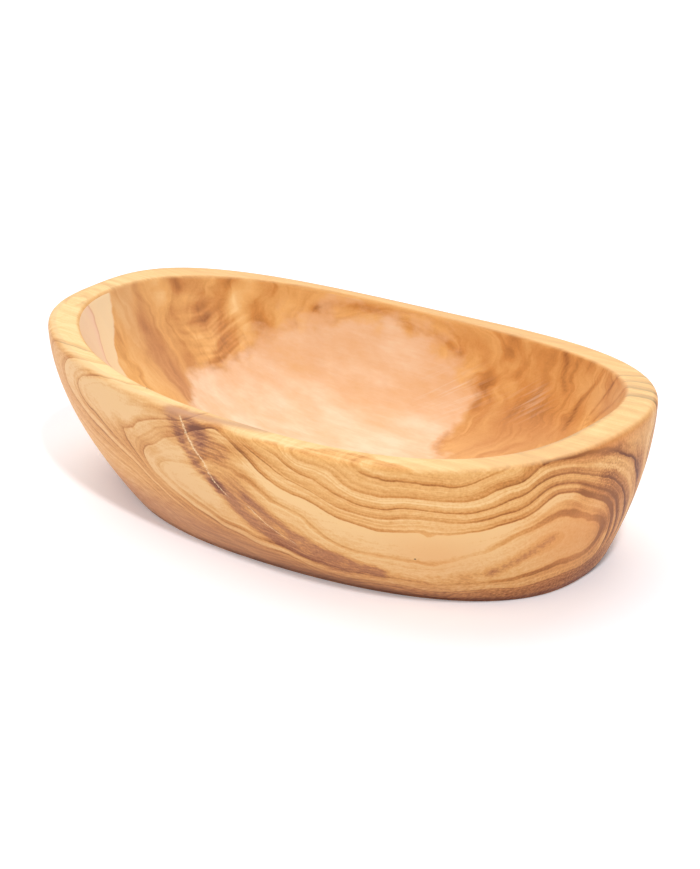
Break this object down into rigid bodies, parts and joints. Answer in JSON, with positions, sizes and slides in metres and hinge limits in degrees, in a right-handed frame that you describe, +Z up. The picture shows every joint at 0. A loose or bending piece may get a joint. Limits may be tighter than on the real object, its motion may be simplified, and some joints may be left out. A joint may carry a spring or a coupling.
{
  "type": "olive wood serving dish",
  "caption": "Oval serving dish carved from solid olive wood, with a raked bow end, a fuller stern end, a flat eased rim, a scooped hollow and a flat foot, for olives or nibbles.",
  "frame": {"origin": "on the table plane, under the middle of the rim's length and width", "axes": "+X along the length to the blunt stern end, +Y across the dish, +Z up out of the hollow"},
  "size_m": [0.16, 0.0958, 0.0391],
  "materials": {
    "olive_wood": "satin, oiled"
  },
  "bodies": {
    "root": {"dish": "olive_wood"}
  },
  "joints": []
}
